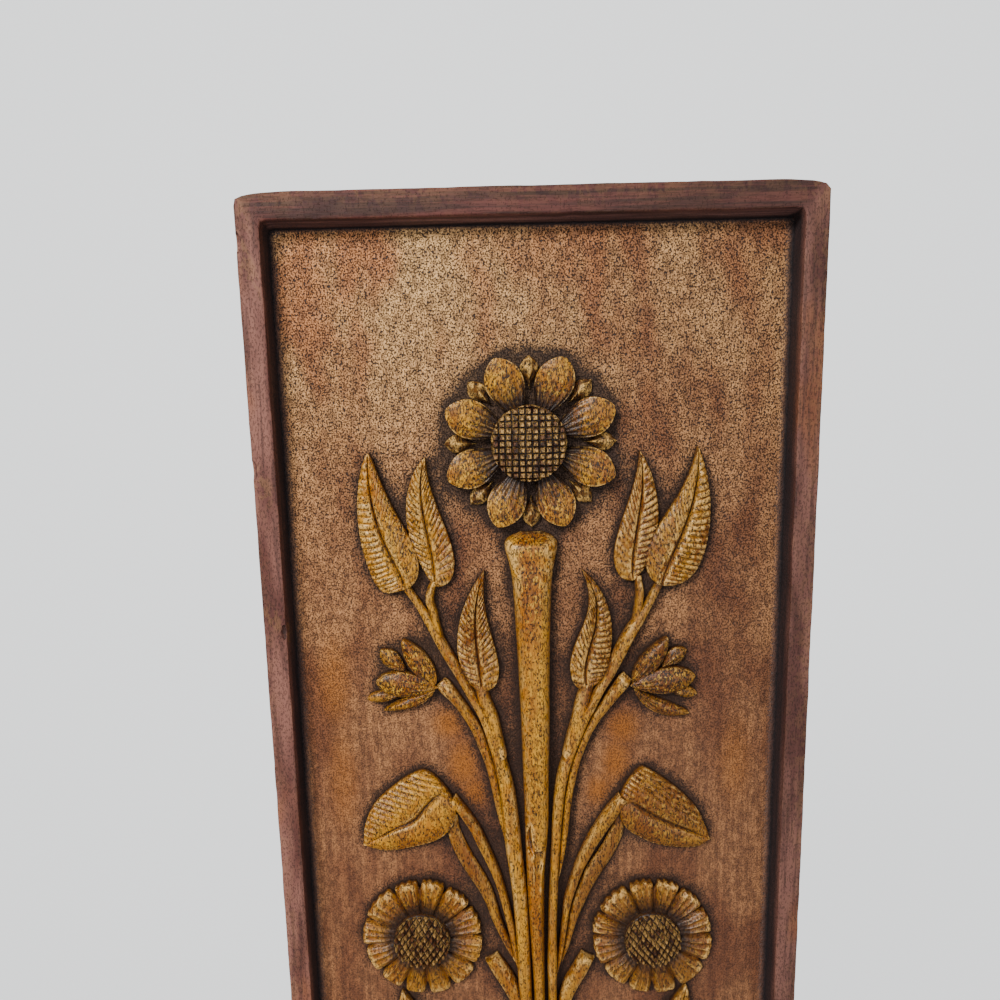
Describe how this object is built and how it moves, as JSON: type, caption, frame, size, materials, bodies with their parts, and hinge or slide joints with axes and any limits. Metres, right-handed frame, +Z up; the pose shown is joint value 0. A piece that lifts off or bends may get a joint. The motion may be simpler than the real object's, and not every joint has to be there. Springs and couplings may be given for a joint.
{
  "type": "carved wall plaque",
  "caption": "Tall rectangular wooden wall plaque with a raised border around a sunk field carved in relief with a bunch of flowers, buds and leaves on upright stems.",
  "frame": {"origin": "the middle of the flat back face, where the plaque lies against the wall", "axes": "+X to the viewer's right across the panel, +Z up the panel, and +Y out of the back into the wall, so the carved front faces -Y"},
  "size_m": [0.305, 0.032, 0.762],
  "materials": {
    "carved_wood": "oiled and waxed wood, worn and stained dark in its hollows"
  },
  "bodies": {
    "root": {"carved_panel": "carved_wood"}
  },
  "joints": []
}
